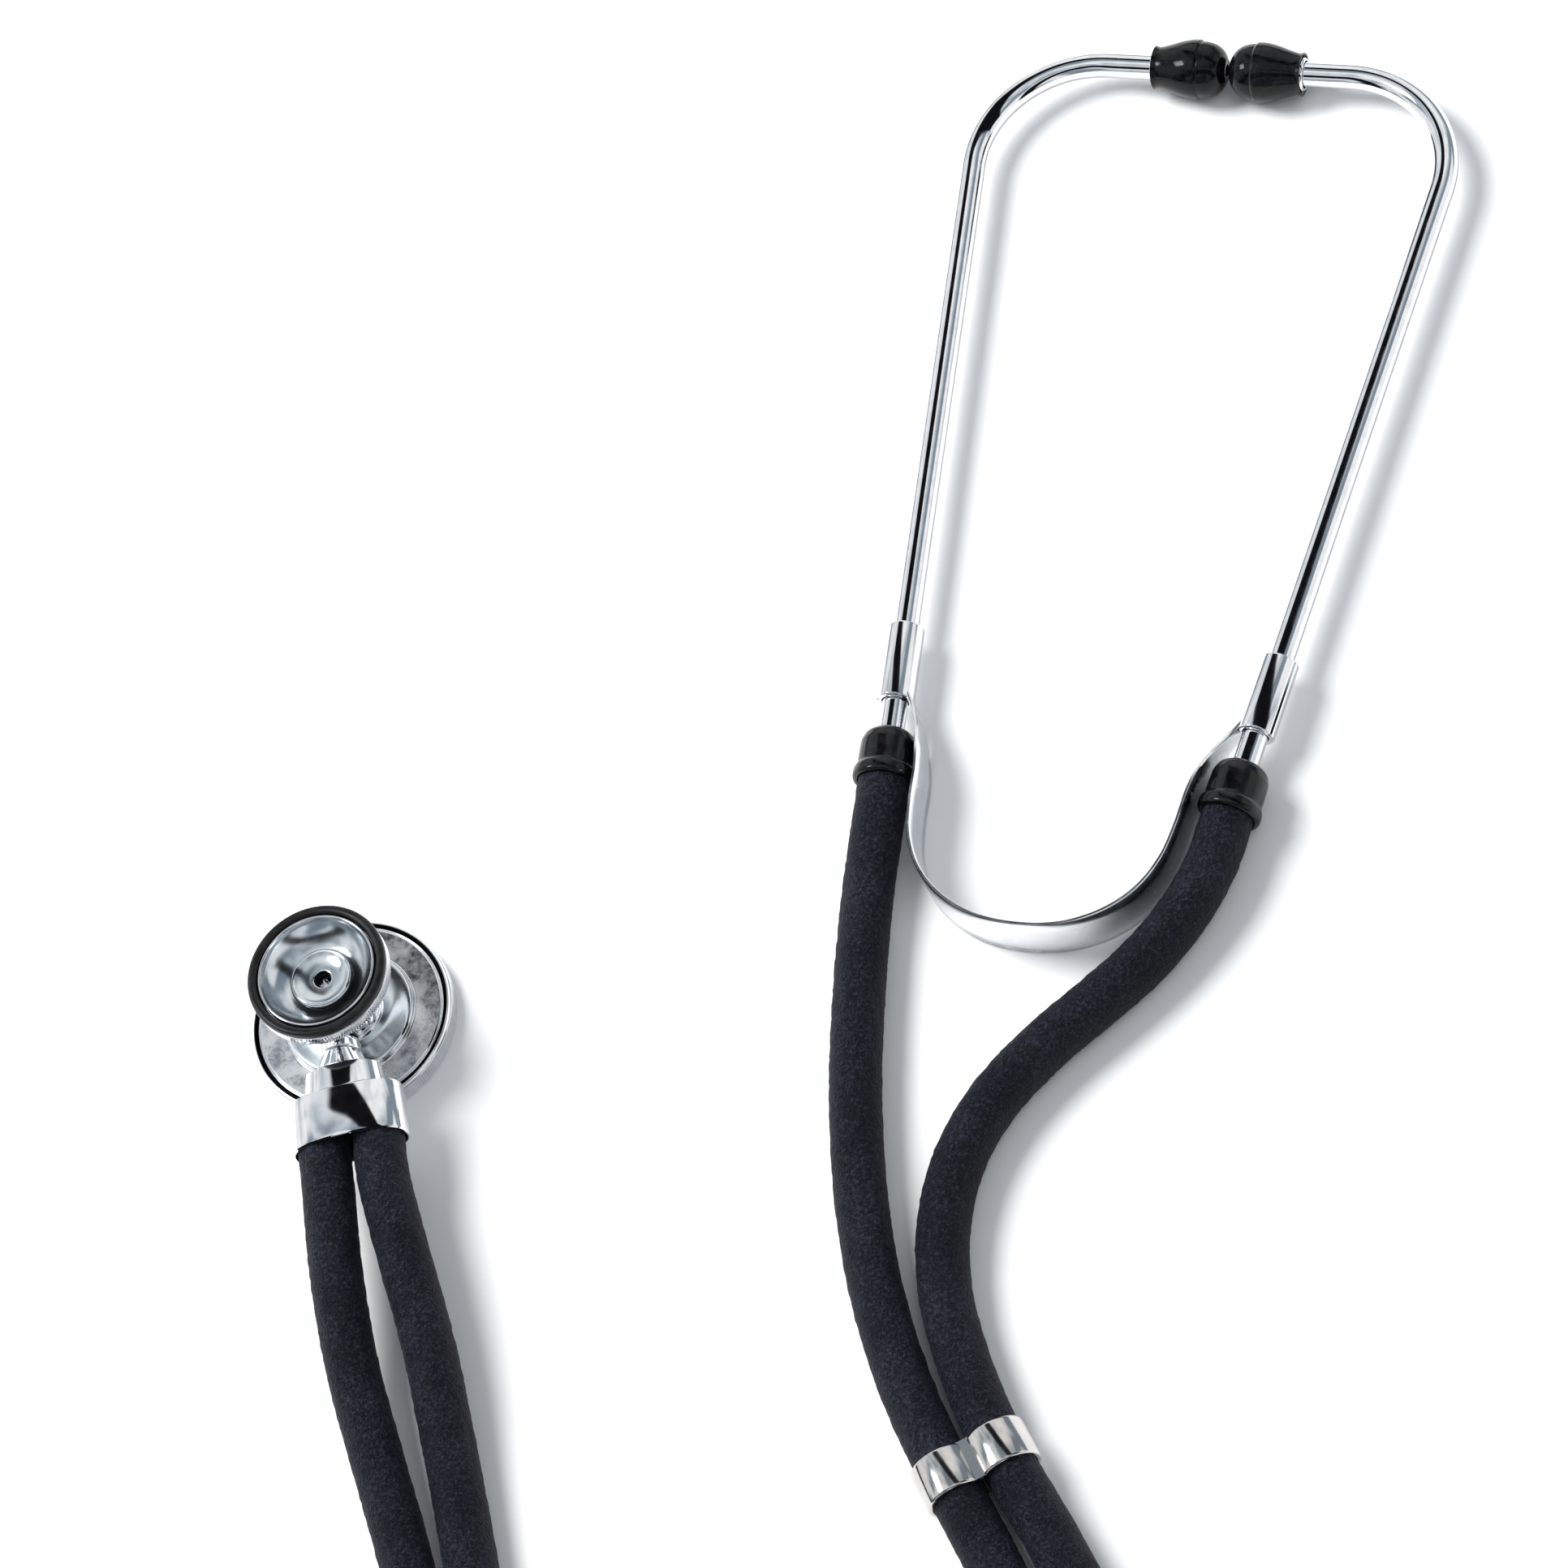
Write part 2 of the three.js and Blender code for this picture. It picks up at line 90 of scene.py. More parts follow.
HOSE_RADIUS = 5.5
LEFT_ROUTE = [
    (124.2, 28.4, 6.8), (122.2, 21.7, 6.8), (119, 11, 6.6), (114.5, -4, 6), (110, -22.5, 5.6),
    (105.5, -46, 5.6), (103, -70, 5.6), (103, -92.5, 5.6), (106, -114.5, 6), (111.6, -135.9, 6.75),
    (118, -157, 6), (123, -176.5, 5.6), (123, -196, 5.6), (117.5, -214.5, 5.6), (106, -231, 5.6),
    (89, -244.5, 5.6), (67, -250, 5.6), (44, -245.5, 5.6), (24.5, -232.5, 5.6), (11, -213.5, 5.6),
    (4.5, -191, 5.6), (3, -169, 5.6), (1.5, -147.5, 5.6), (-0.5, -126.5, 5.6), (-3.5, -105, 7.3),
    (-6, -83.5, 10.6), (-6.5, -62, 13.6), (-6, -44, 14.5), (-6, -33, 14.5),
]
RIGHT_ROUTE = [
    (195.1, -0.5, 6.8), (191.8, -6.7, 6.8), (186.5, -16.5, 6.6), (179, -25.5, 6.1), (169.5, -33.5, 5.6),
    (158, -40.5, 5.6), (145.5, -47.5, 5.6), (133.5, -56.5, 5.6), (124.5, -67.5, 5.6), (119, -80.5, 5.6),
    (116.8, -95, 5.6), (117.8, -109.5, 5.8), (122.8, -132.7, 6.75), (130, -154, 6), (135.5, -174.5, 6.2),
    (135, -198, 8.2), (125.5, -219, 13.3), (108.5, -234, 17), (88, -240.5, 16.9), (67.5, -240.5, 13.2),
    (48.5, -235, 8), (32.5, -224, 5.6), (21.5, -208.5, 5.6), (16.5, -189.5, 5.6), (15, -168.5, 5.6),
    (13.5, -147, 5.6), (12.5, -125.5, 5.6), (11.5, -104, 7.3), (10.5, -82.5, 10.6), (8, -61, 13.6),
    (6, -44, 14.5), (6, -33, 14.5),
]

# ---------- fineness of the meshes ----------
HOSE_STEP = 1.0                           # millimetres between a swept line's points
TUBE_STEP = 1.2
SPRING_STEP = 0.905                       # gives an odd count, so that one point is the middle of the bow
PIPE_SIDES = 40
STEPS_PER_SPAN = 24                       # of a smooth line, before it is spaced evenly
STEPS_PER_CORNER = 3
MOST_CUT = 0.42                           # of an edge's length, taken by the arc at each end of it
ON_AXIS = 1e-6
WELD_DISTANCE = 1e-7
SHARP_ANGLE = 32                          # degrees between faces, beyond which an edge is drawn sharp
SHARP_ANGLE_AFTER_CUTS = 30
COARSE_GRAIN = 620                        # lumps to a metre in a rough skin
FINE_GRAIN = 1500
FINE_GRAIN_SHARE = 0.7

# ---------- camera, floor and light, in metres ----------
PICTURE_CENTRE = Vector((100.95, 27.62, 6.6)) * MM
PICTURE_TURN = math.radians(-12)          # the picture's right, measured from +X
PICTURE_WIDTH = 0.333                     # what is seen across the picture's centre
CAMERA_TILT = math.radians(32)            # away from straight down
CAMERA_LEAN = math.radians(-72.6)         # the side it is tilted towards
CAMERA_DISTANCE = 1.1
SENSOR_WIDTH = 36
NEAREST_SEEN = 0.01
FLOOR_HALF_WIDTH = 4.0
FLOOR_DROP = 0.0001                       # just under the drum, so that no two faces coincide
FLOOR_COLOUR = (0.9, 0.905, 0.915, 1)

SURROUND_COLOUR = (0.90, 0.95, 1.0, 1)
SURROUND_STRENGTH = 0.42
# The room that metal mirrors. Each window is (from, to, soft edge) on the direction's part along the
# picture's right or up, which runs from -1 to 1. The upper flag lies on a slant between the two.
ROOM_STOPS = [(0.42, (0.24, 0.29, 0.34)), (0.5, (0.62, 0.67, 0.71)), (0.60, (1.0, 1.0, 1.0))]
ROOM_CLOUDS = {"Scale": 1.9, "Detail": 2.5, "Distortion": 0.6}
FLAG_COLOUR = (0.006, 0.006, 0.008, 1)
UPPER_FLAG_SLANT = 0.5
UPPER_FLAG_WIDTH = (0.27, 0.55, 0.02)
UPPER_FLAG_LENGTH = (-0.44, 0.9, 0.03)
LOWER_FLAG_WIDTH = (-0.78, -0.56, 0.03)
LAMP_RIGHT = (-0.74, -0.58, 0.02)
LAMP_UP = (-0.16, 0.12, 0.02)
LAMP_BRIGHTNESS = 18.0


# ---------- shader nodes ----------
def add_math(tree, operation, first, second):
    node = tree.nodes.new("ShaderNodeMath")
    node.operation = operation
    tree.links.new(first, node.inputs[0])
    tree.links.new(second, node.inputs[1])
    return node.outputs["Value"]


def add_sum(tree, first, second, scale):
    """first + second * scale."""
    node = tree.nodes.new("ShaderNodeMath")
    node.operation = "MULTIPLY_ADD"
    tree.links.new(second, node.inputs[0])
    node.inputs[1].default_value = scale
    tree.links.new(first, node.inputs[2])
    return node.outputs["Value"]


def add_range(tree, value, low, high, from_low=0.3, from_high=0.7, shape="LINEAR"):
    """value carried from one range to another, and held at its ends."""
    node = tree.nodes.new("ShaderNodeMapRange")
    node.interpolation_type = shape
    node.inputs["From Min"].default_value = from_low
    node.inputs["From Max"].default_value = from_high
    node.inputs["To Min"].default_value = low
    node.inputs["To Max"].default_value = high
    tree.links.new(value, node.inputs["Value"])
    return node.outputs["Result"]


def add_window(tree, value, window):
    """1 where value lies in the window, falling to 0 over its soft edges."""
    low, high, soft = window
    rise = add_range(tree, value, 0, 1, low - soft, low + soft, "SMOOTHSTEP")
    fall = add_range(tree, value, 1, 0, high - soft, high + soft, "SMOOTHSTEP")
    return add_math(tree, "MULTIPLY", rise, fall)


def add_colours(tree, value, stops):
    """The colour at value between the stops, each a (position, colour)."""
    node = tree.nodes.new("ShaderNodeValToRGB")
    ramp = node.color_ramp.elements
    while len(ramp) < len(stops):
        ramp.new(0.5)
    for element, (position, colour) in zip(ramp, stops):
        element.position = position
        element.color = (*colour, 1)
    tree.links.new(value, node.inputs["Fac"])
    return node.outputs["Color"]


def add_noise(tree, place, grain_mm, detail=3.0, roughness=0.55, stretch=(1, 1, 1)):
    mapping = tree.nodes.new("ShaderNodeMapping")
    mapping.inputs["Scale"].default_value = stretch
    tree.links.new(place, mapping.inputs["Vector"])
    texture = tree.nodes.new("ShaderNodeTexNoise")
    texture.inputs["Scale"].default_value = 1 / (grain_mm * MM)
    texture.inputs["Detail"].default_value = detail
    texture.inputs["Roughness"].default_value = roughness
    tree.links.new(mapping.outputs["Vector"], texture.inputs["Vector"])
    return texture.outputs["Fac"]


def add_bump(tree, shader, height, depth_mm):
    """A bump on top of those that the shader already has."""
    node = tree.nodes.new("ShaderNodeBump")
    node.inputs["Distance"].default_value = depth_mm * MM
    node.inputs["Strength"].default_value = 1.0
    tree.links.new(height, node.inputs["Height"])
    if shader.inputs["Normal"].is_linked:
        before = shader.inputs["Normal"].links[0].from_socket
        tree.links.new(before, node.inputs["Normal"])
    tree.links.new(node.outputs["Normal"], shader.inputs["Normal"])


# ---------- the scene around the stethoscope ----------
def in_picture(right, up, height):
    """A point given from the picture's centre: right and up along the floor, and height, in metres."""
    return PICTURE_CENTRE + Matrix.Rotation(PICTURE_TURN, 3, "Z") @ Vector((right, up, height))


def make_camera():
    """A camera that looks at the picture's centre from the photograph's viewing angle."""
    data = bpy.data.cameras.new("camera")
    data.sensor_width = SENSOR_WIDTH
    data.lens = SENSOR_WIDTH * CAMERA_DISTANCE / PICTURE_WIDTH
    data.clip_start = NEAREST_SEEN
    camera = bpy.data.objects.new("camera", data)
    bpy.context.scene.collection.objects.link(camera)
    lean = Vector((math.cos(CAMERA_LEAN), math.sin(CAMERA_LEAN), 0))
    tilt = Matrix.Rotation(CAMERA_TILT, 4, UP.cross(lean))
    place = Matrix.Translation(PICTURE_CENTRE + tilt @ UP * CAMERA_DISTANCE)
    camera.matrix_world = place @ tilt @ Matrix.Rotation(PICTURE_TURN, 4, "Z")
    bpy.context.scene.camera = camera


def make_floor():
    half = FLOOR_HALF_WIDTH
    corners = [(-half, -half, 0), (half, -half, 0), (half, half, 0), (-half, half, 0)]
    mesh = bpy.data.meshes.new("floor")
    mesh.from_pydata(corners, [], [(0, 1, 2, 3)])
    floor = bpy.data.objects.new("floor", mesh)
    floor.location = (0, 0, -FLOOR_DROP)
    bpy.context.scene.collection.objects.link(floor)
    look = bpy.data.materials.new("pale_floor")
    look.use_nodes = True
    shader = look.node_tree.nodes["Principled BSDF"]
    shader.inputs["Base Color"].default_value = FLOOR_COLOUR
    shader.inputs["Roughness"].default_value = 0.8
    shader.inputs["Specular IOR Level"].default_value = 0.1
    mesh.materials.append(look)


def add_light(name, place, size, power, colour):
    """A round lamp aimed at the picture's centre. Metal mirrors the room's own lamp instead of it."""
    data = bpy.data.lights.new(name, "AREA")
    data.shape = "DISK"
    data.size = size
    data.energy = power
    data.color = colour
    light = bpy.data.objects.new(name, data)
    light.location = in_picture(*place)
    light.rotation_mode = "QUATERNION"
    light.rotation_quaternion = (PICTURE_CENTRE - light.location).to_track_quat("-Z", "Y")
    light.visible_glossy = False
    bpy.context.scene.collection.objects.link(light)


def add_direction_part(tree, direction, picture_axis):
    """How far a direction points along one of the picture's axes, from -1 to 1."""
    node = tree.nodes.new("ShaderNodeVectorMath")
    node.operation = "DOT_PRODUCT"
    node.inputs[1].default_value = Matrix.Rotation(PICTURE_TURN, 3, "Z") @ Vector(picture_axis)
    tree.links.new(direction, node.inputs[0])
    return node.outputs["Value"]


def add_mirrored_room(tree):
    """A cloudy white room with two black flags and one bright lamp in it."""
    direction = tree.nodes.new("ShaderNodeTexCoord").outputs["Generated"]
    right = add_direction_part(tree, direction, (1, 0, 0))
    up = add_direction_part(tree, direction, (0, 1, 0))
    clouds = tree.nodes.new("ShaderNodeTexNoise")
    for setting, value in ROOM_CLOUDS.items():
        clouds.inputs[setting].default_value = value
    tree.links.new(direction, clouds.inputs["Vector"])
    walls = add_colours(tree, clouds.outputs["Fac"], ROOM_STOPS)

    slant = add_sum(tree, up, right, UPPER_FLAG_SLANT)
    upper_width = add_window(tree, slant, UPPER_FLAG_WIDTH)
    upper_length = add_window(tree, right, UPPER_FLAG_LENGTH)
    upper_flag = add_math(tree, "MULTIPLY", upper_width, upper_length)
    lower_flag = add_window(tree, up, LOWER_FLAG_WIDTH)
    flagged = tree.nodes.new("ShaderNodeMix")
    flagged.data_type = "RGBA"
    tree.links.new(add_math(tree, "MAXIMUM", upper_flag, lower_flag), flagged.inputs["Factor"])
    tree.links.new(walls, flagged.inputs["A"])
    flagged.inputs["B"].default_value = FLAG_COLOUR

    lamp = add_math(tree, "MULTIPLY", add_window(tree, right, LAMP_RIGHT), add_window(tree, up, LAMP_UP))
    room = tree.nodes.new("ShaderNodeBackground")
    tree.links.new(flagged.outputs["Result"], room.inputs["Color"])
    tree.links.new(add_range(tree, lamp, 1.0, LAMP_BRIGHTNESS, 0, 1), room.inputs["Strength"])
    return room.outputs["Background"]


def make_studio():
    """Two soft lamps in a pale surround. Mirror rays see a room with flags in place of the surround."""
    world = bpy.data.worlds.new("studio")
    bpy.context.scene.world = world
    world.use_nodes = True
    tree = world.node_tree
    tree.nodes.clear()
    surround = tree.nodes.new("ShaderNodeBackground")
    surround.inputs["Color"].default_value = SURROUND_COLOUR
    surround.inputs["Strength"].default_value = SURROUND_STRENGTH
    path = tree.nodes.new("ShaderNodeLightPath")
    mix = tree.nodes.new("ShaderNodeMixShader")
    tree.links.new(path.outputs["Is Glossy Ray"], mix.inputs["Fac"])
    tree.links.new(surround.outputs["Background"], mix.inputs[1])
    tree.links.new(add_mirrored_room(tree), mix.inputs[2])
    output = tree.nodes.new("ShaderNodeOutputWorld")
    tree.links.new(mix.outputs["Shader"], output.inputs["Surface"])
    add_light("key", place=(-0.8, 0.42, 1.0), size=0.85, power=30, colour=(1.0, 0.99, 0.97))
    add_light("fill", place=(0.7, -0.2, 1.3), size=0.9, power=4, colour=(0.96, 0.98, 1.0))
    bpy.context.scene.view_settings.view_transform = "Standard"


# ---------- materials ----------
def new_look(name):
    """A new node material: itself, its tree, its shader, and the piece's own coordinates in metres."""
    look = bpy.data.materials.new(name)
    look.use_nodes = True
    tree = look.node_tree
    place = tree.nodes.new("ShaderNodeTexCoord")
    return look, tree, tree.nodes["Principled BSDF"], place.outputs["Object"]


def plated(name, tint, smooth, dull, wear_mm=3.0, scratch_mm=0.0006):
    """Polished plate: a little smudging in the gloss, faint colour drift and hairline scratches."""
    look, tree, shader, place = new_look(name)
    shader.inputs["Metallic"].default_value = 1
    smudge = add_noise(tree, place, wear_mm, detail=4)
    tree.links.new(add_range(tree, smudge, smooth, dull), shader.inputs["Roughness"])
    dark = tuple(0.88 * c for c in tint)
    tree.links.new(add_colours(tree, smudge, [(0.3, dark), (0.6, tint)]), shader.inputs["Base Color"])
    hairlines = add_noise(tree, place, grain_mm=0.25, detail=2, stretch=(1, 0.08, 1))
    add_bump(tree, shader, hairlines, scratch_mm)
    return look


def mottled_metal():
    """The drum's flat ring: cast plate that has gone cloudy, with small darker pits."""
    look, tree, shader, place = new_look("mottled_metal")
    shader.inputs["Metallic"].default_value = 1
    cloud = add_noise(tree, place, grain_mm=3.2, detail=6, roughness=0.66)
    tree.links.new(add_range(tree, cloud, 0.12, 0.42), shader.inputs["Roughness"])
    stops = [(0.34, (0.45, 0.46, 0.48)), (0.46, (0.70, 0.70, 0.71)), (0.62, (0.86, 0.85, 0.84))]
    tree.links.new(add_colours(tree, cloud, stops), shader.inputs["Base Color"])
    add_bump(tree, shader, cloud, depth_mm=0.05)
    add_bump(tree, shader, add_noise(tree, place, grain_mm=0.5, detail=3), depth_mm=0.012)
    return look


def hose_rubber():
    """Matte black with a blue cast and a fine pebbled skin, dusted paler on the high grains."""
    look, tree, shader, place = new_look("hose_rubber")
    pebble_mm = 0.5
    pebbles = tree.nodes.new("ShaderNodeTexVoronoi")
    pebbles.inputs["Scale"].default_value = 1 / (pebble_mm * MM)
    pebbles.inputs["Randomness"].default_value = 1
    tree.links.new(place, pebbles.inputs["Vector"])
    fuzz = add_noise(tree, place, grain_mm=0.75, detail=2, roughness=0.8)
    patch = add_noise(tree, place, grain_mm=14, detail=3)
    dust = add_sum(tree, fuzz, patch, 0.3)
    stops = [(0.52, (0.002, 0.002, 0.0035)), (0.66, (0.007, 0.008, 0.0125)), (0.84, (0.026, 0.029, 0.041))]
    tree.links.new(add_colours(tree, dust, stops), shader.inputs["Base Color"])
    tree.links.new(add_range(tree, fuzz, 0.55, 0.82), shader.inputs["Roughness"])
    shader.inputs["Specular IOR Level"].default_value = 0.2
    shader.inputs["Sheen Weight"].default_value = 0.02
    shader.inputs["Sheen Roughness"].default_value = 0.45
    shader.inputs["Sheen Tint"].default_value = (0.6, 0.7, 1.0, 1)
    add_bump(tree, shader, pebbles.outputs["Distance"], depth_mm=0.25)
    add_bump(tree, shader, fuzz, depth_mm=0.3)
    return look


def gloss_black(name, smooth, dull, mirror=0.4):
    """Hard moulded black: clear gloss with faint ripple, fine scuffs and a trace of dust. Made dull, it is
    also the painted shade in bores, gaps and inner walls.
    """
    look, tree, shader, place = new_look(name)
    scuff = add_noise(tree, place, grain_mm=1.6, detail=6, roughness=0.6)
    tree.links.new(add_range(tree, scuff, smooth, dull), shader.inputs["Roughness"])
    stops = [(0.4, (0.002, 0.002, 0.0025)), (0.75, (0.009, 0.009, 0.010))]
    tree.links.new(add_colours(tree, scuff, stops), shader.inputs["Base Color"])
    shader.inputs["Specular IOR Level"].default_value = mirror
    add_bump(tree, shader, add_noise(tree, place, grain_mm=2.2, detail=2), depth_mm=0.03)
    add_bump(tree, shader, add_noise(tree, place, grain_mm=0.35, detail=3), depth_mm=0.006)
    return look


def film():
    """Glass-fibre film: pale, slightly cloudy, with the faint cross of its threads."""
    look, tree, shader, place = new_look("diaphragm_film")
    cloud = add_noise(tree, place, grain_mm=5, detail=4)
    stops = [(0.3, (0.62, 0.62, 0.58)), (0.7, (0.78, 0.78, 0.74))]
    tree.links.new(add_colours(tree, cloud, stops), shader.inputs["Base Color"])
    tree.links.new(add_range(tree, cloud, 0.25, 0.4), shader.inputs["Roughness"])
    for direction in ("X", "Y"):
        thread = tree.nodes.new("ShaderNodeTexWave")
        thread.bands_direction = direction
        thread.inputs["Scale"].default_value = 160
        tree.links.new(place, thread.inputs["Vector"])
        add_bump(tree, shader, thread.outputs["Fac"], depth_mm=0.008)
    return look


LOOKS = {
    "chrome": plated("chrome", (0.86, 0.87, 0.89), smooth=0.03, dull=0.09),
    "steel": plated("steel", (0.84, 0.84, 0.85), smooth=0.05, dull=0.09, wear_mm=6.0, scratch_mm=0.0002),
    "satin": plated("satin_chrome", (0.70, 0.745, 0.775), smooth=0.15, dull=0.24, wear_mm=5.0),
    "band": plated("spring_steel", (0.84, 0.86, 0.88), smooth=0.16, dull=0.3, wear_mm=5.0),
    "clip": plated("clip_metal", (0.66, 0.64, 0.615), smooth=0.08, dull=0.16, wear_mm=4.0),
    "mottled": mottled_metal(),
    "rubber": hose_rubber(),
    "gloss": gloss_black("gloss_black", smooth=0.08, dull=0.2, mirror=0.3),
    "tip": gloss_black("ear_tip_black", smooth=0.05, dull=0.14, mirror=0.2),
    "ring": gloss_black("ring_black", smooth=0.28, dull=0.45),
    # bore: painted shade, a dull black laid on the bell hub's bore and the gap round it, the drum's groove,
    # the drum ring's inside and the collar's inside
    "bore": gloss_black("bore_shadow", smooth=0.5, dull=0.7),
    "film": film(),
}

# ---------- mesh helpers ----------
BODY_OF = {node: body for body, nodes in frame["record"]["behaviour"]["bodies"].items() for node in nodes}


def new_piece(name, points, faces, looks, finishes=None, sharp=SHARP_ANGLE):
    """A smooth-shaded mesh from points in metres. finishes gives each face's place in looks."""
    mesh = bpy.data.meshes.new(name)
    mesh.from_pydata([tuple(p) for p in points], [], faces)
    for look in looks:
        mesh.materials.append(LOOKS[look])
    if finishes is not None:
        mesh.polygons.foreach_set("material_index", finishes)
    welded = bmesh.new()
    welded.from_mesh(mesh)
    bmesh.ops.remove_doubles(welded, verts=welded.verts, dist=WELD_DISTANCE)
    bmesh.ops.recalc_face_normals(welded, faces=welded.faces)
    welded.to_mesh(mesh)
    welded.free()
    return new_object(name, mesh, sharp)


def new_object(name, mesh, sharp):
    mesh.polygons.foreach_set("use_smooth", [True] * len(mesh.polygons))
    mesh.set_sharp_from_angle(angle=math.radians(sharp))
    piece = bpy.data.objects.new(name, mesh)
    bpy.context.scene.collection.objects.link(piece)
    return piece


def stand_for(piece, node):
    """piece takes the CAD node's place: it joins the same body, and the CAD node is hidden."""
    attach(piece, BODY_OF[node])
    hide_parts(node)
    return piece


def skin_over(loops, count, closed=False):
    """Faces over loops of count points each: closed into a ring, or with a flat face at each end."""
    faces = []
    for i in range(loops if closed else loops - 1):
        a, b = i * count, ((i + 1) % loops) * count
        faces += [[a + k, a + (k + 1) % count, b + (k + 1) % count, b + k] for k in range(count)]
    if not closed:
        faces.append(list(range(count)))
        faces.append(list(range((loops - 1) * count, loops * count)))
    return faces


def rounded(profile, radius, ring):
    """The outline with each corner turned into a small arc. A ring's last point joins its first."""
    made = []
    count = len(profile)
    for i, corner in enumerate(profile):
        here = Vector(corner)
        if not ring and i in (0, count - 1):
            made.append(here)
            continue
        back = Vector(profile[i - 1]) - here
        ahead = Vector(profile[(i + 1) % count]) - here
        cut = min(radius, MOST_CUT * back.length, MOST_CUT * ahead.length)
        start = here + back.normalized() * cut
        end = here + ahead.normalized() * cut
        for k in range(STEPS_PER_CORNER + 1):
            t = k / STEPS_PER_CORNER
            made.append((1 - t) ** 2 * start + 2 * t * (1 - t) * here + t * t * end)
    return made


def turned(name, profile, looks, segments=96, ring=True, place=None, relief=None, finish_of=None,
           soften=0.25):
    """A body of revolution about Z from (radius, z) in mm, with corners softened by so many mm.
    relief(angle, radius, z) is added to the radius. finish_of(radius, z) is a face's place in looks."""
    outline = rounded(profile, soften, ring)
    place = place or Matrix.Identity(4)
    points, faces, finishes = [], [], []
    count = len(outline)
    for s in range(segments):
        angle = 2 * math.pi * s / segments
        for r, z in outline:
            wide = r + (relief(angle, r, z) if relief else 0)
            points.append(place @ (Vector((wide * math.cos(angle), wide * math.sin(angle), z)) * MM))
    for s in range(segments):
        a, b = s * count, ((s + 1) % segments) * count
        for i in range(count if ring else count - 1):
            j = (i + 1) % count
            corners = [a + i, b + i, b + j, a + j]
            if outline[i][0] < ON_AXIS:
                corners = [a + i, b + j, a + j]
            elif outline[j][0] < ON_AXIS:
                corners = [a + i, b + i, a + j]
            faces.append(corners)
            middle = (outline[i] + outline[j]) / 2
            finishes.append(finish_of(middle[0], middle[1]) if finish_of else 0)
    return new_piece(name, points, faces, looks, finishes)


def smooth_line(route, spacing):
    """Evenly spaced points on the centripetal Catmull-Rom curve through route. Same units as route."""
    knots = [Vector(p) for p in route]
    knots = [2 * knots[0] - knots[1]] + knots + [2 * knots[-1] - knots[-2]]
    dense = []
    for i in range(1, len(knots) - 2):
        p0, p1, p2, p3 = knots[i - 1:i + 3]
        t1 = math.sqrt((p1 - p0).length)
        t2 = t1 + math.sqrt((p2 - p1).length)
        t3 = t2 + math.sqrt((p3 - p2).length)
        for k in range(STEPS_PER_SPAN):
            t = t1 + (t2 - t1) * k / STEPS_PER_SPAN
            a1 = p0.lerp(p1, t / t1)
            a2 = p1.lerp(p2, (t - t1) / (t2 - t1))
            a3 = p2.lerp(p3, (t - t2) / (t3 - t2))
            b1 = a1.lerp(a2, t / t2)
            b2 = a2.lerp(a3, (t - t1) / (t3 - t1))
            dense.append(b1.lerp(b2, (t - t1) / (t2 - t1)))
    dense.append(knots[-2])
    lengths = [0.0]
    for before, after in zip(dense, dense[1:]):
        lengths.append(lengths[-1] + (after - before).length)
    count = max(2, round(lengths[-1] / spacing))
    even, i = [], 0
    for k in range(count + 1):
        wanted = lengths[-1] * k / count
        while i < len(lengths) - 2 and lengths[i + 1] < wanted:
            i += 1
        share = (wanted - lengths[i]) / (lengths[i + 1] - lengths[i])
        even.append(dense[i].lerp(dense[i + 1], min(share, 1)))
    return even


def curved(profile, spacing=0.4):
    """(radius, z) points along a smooth curve through the given ones."""
    return [(p.x, p.y) for p in smooth_line([(r, z, 0) for r, z in profile], spacing)]


def swept(name, line, section, looks, grain=0.0, sharp=SHARP_ANGLE, height_at=None):
    """A bar along line (metres) with a closed section of (across, up) in mm. grain roughens the skin,
    in mm. height_at scales the section's height by the share of the line passed."""
    points = []
    last = len(line) - 1
    for i, centre in enumerate(line):
        along = (line[min(i + 1, last)] - line[max(i - 1, 0)]).normalized()
        across = along.cross(UP).normalized()
        rise = across.cross(along)
        if height_at:
            rise *= height_at(i / last)
        for x, z in section:
            point = centre + (across * x + rise * z) * MM
            if grain:
                push = noise.noise(point * COARSE_GRAIN) + FINE_GRAIN_SHARE * noise.noise(point * FINE_GRAIN)
                point += (point - centre).normalized() * push * grain * MM
            points.append(point)
    return new_piece(name, points, skin_over(len(line), len(section)), looks, None, sharp)


def circle(radius, sides):
    turns = [2 * math.pi * k / sides for k in range(sides)]
    return [(radius * math.cos(t), radius * math.sin(t)) for t in turns]


def combined(name, base, joins, cuts):
    """base with the solids in joins added and those in cuts taken away."""
    for piece, operation in [(p, "UNION") for p in joins] + [(p, "DIFFERENCE") for p in cuts]:
        modifier = base.modifiers.new(piece.name, "BOOLEAN")
        modifier.operation = operation
        modifier.solver = "EXACT"
        modifier.object = piece
    bpy.context.view_layer.update()
    graph = bpy.context.evaluated_depsgraph_get()
    mesh = bpy.data.meshes.new_from_object(base.evaluated_get(graph))
    made = new_object(name, mesh, SHARP_ANGLE_AFTER_CUTS)
    for spare in [base, *joins, *cuts]:
        bpy.data.objects.remove(spare)
    return made


# ---------- hoses and their clip ----------
def lobes(radius, waist, steps=26):
    """The outline of two round lobes side by side, with a valley between them that is waist high."""
    dip = math.asin(waist / radius)
    half = CLIP_PITCH / 2
    sweep = 2 * (math.pi - dip)
    made = []
    for side in (1, -1):
        for k in range(steps + 1):
            turn = -math.pi + dip + sweep * k / steps
            made.append((side * (half + radius * math.cos(turn)), side * radius * math.sin(turn)))
    return made


